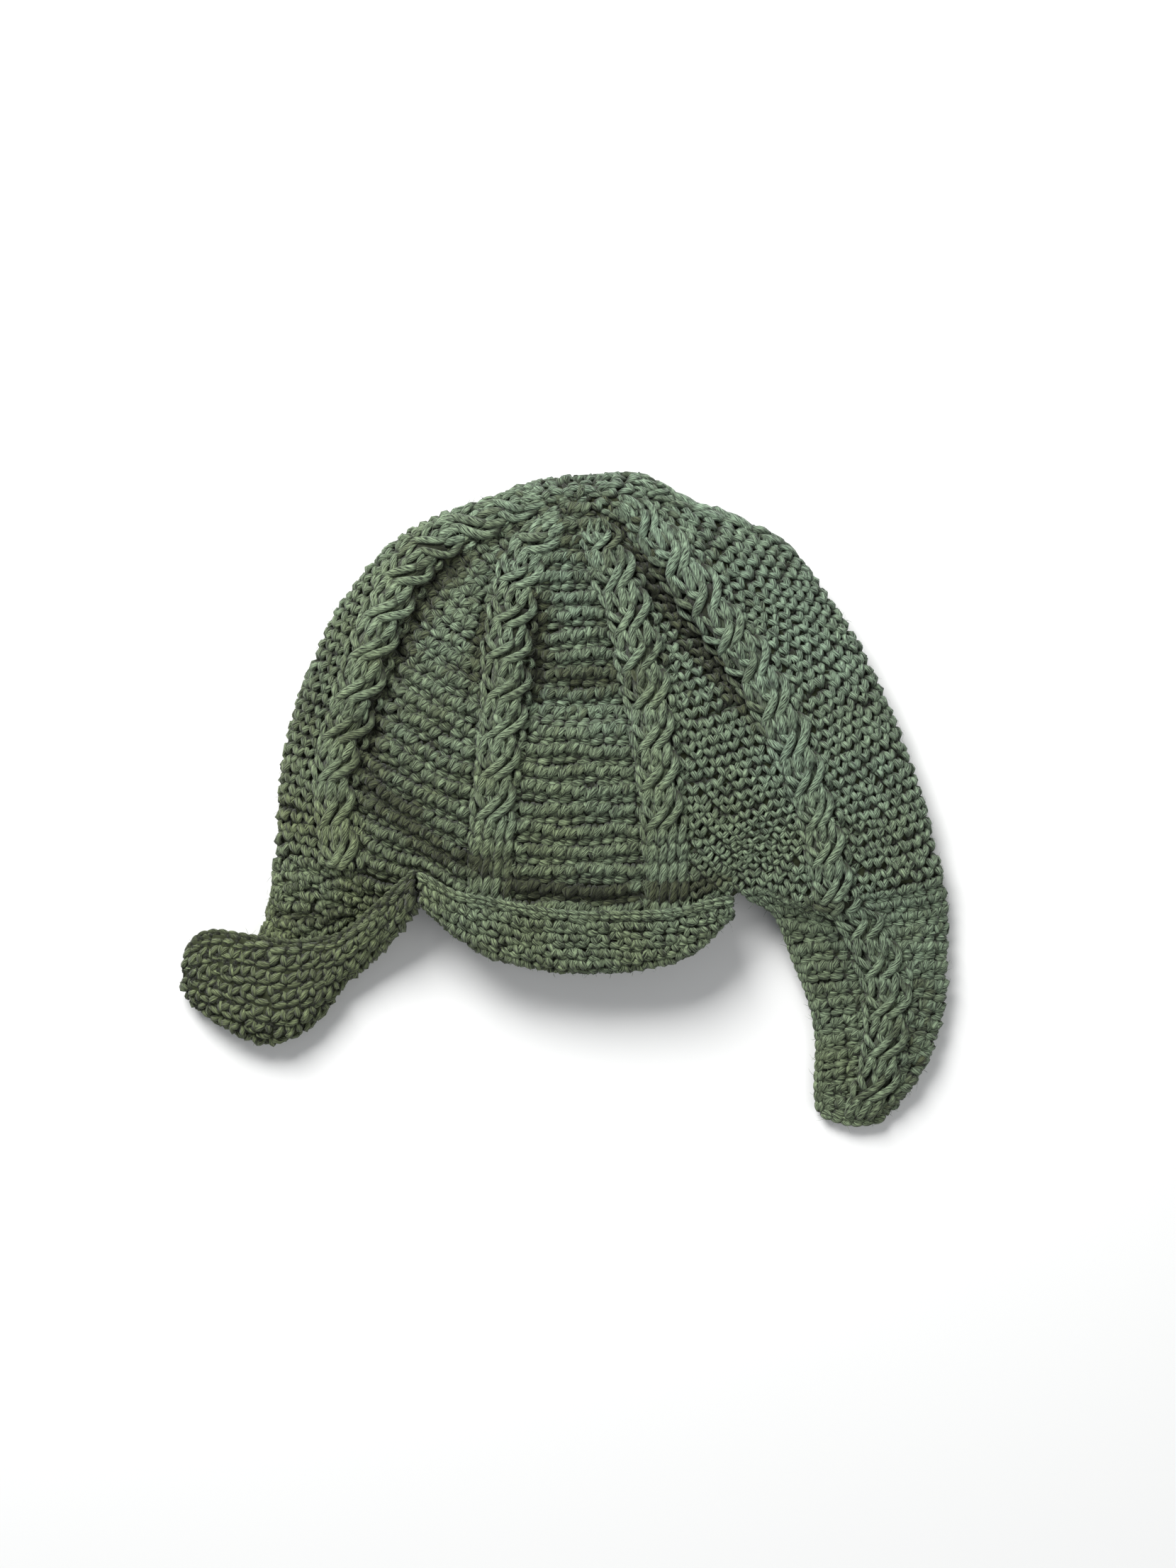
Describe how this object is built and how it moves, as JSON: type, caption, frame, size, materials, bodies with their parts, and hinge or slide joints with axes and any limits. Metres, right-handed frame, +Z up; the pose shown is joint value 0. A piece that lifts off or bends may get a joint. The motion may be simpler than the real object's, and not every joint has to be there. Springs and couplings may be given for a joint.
{
  "type": "earflap hat",
  "caption": "Crocheted wool hat with raised cable ribs, a turned-up front peak and two earflaps, lying flat on its back.",
  "frame": {"origin": "bottom centre of the bounding box, on the surface the hat lies on", "axes": "+Z up from the surface to the front of the hat, +Y from the face opening to the top of the crown, +X to the right of the picture"},
  "size_m": [0.3254, 0.2774, 0.0414],
  "materials": {
    "main_yarn": "matte wool yarn",
    "cable_yarn": "matte wool yarn",
    "edging_yarn": "matte wool yarn"
  },
  "bodies": {
    "root": {"crown": "main_yarn", "crown_cable_a": "cable_yarn", "crown_cable_b": "cable_yarn", "crown_cable_c": "cable_yarn", "crown_cable_d": "cable_yarn", "crown_cable_e": "cable_yarn", "crown_cable_f": "cable_yarn", "crown_cable_g": "cable_yarn", "crown_cable_h": "cable_yarn", "front_peak": "main_yarn", "earflap_left": "main_yarn", "earflap_right": "main_yarn", "earflap_cable_right": "cable_yarn", "edging_peak": "edging_yarn", "edging_left": "edging_yarn", "edging_right": "edging_yarn"}
  },
  "joints": []
}
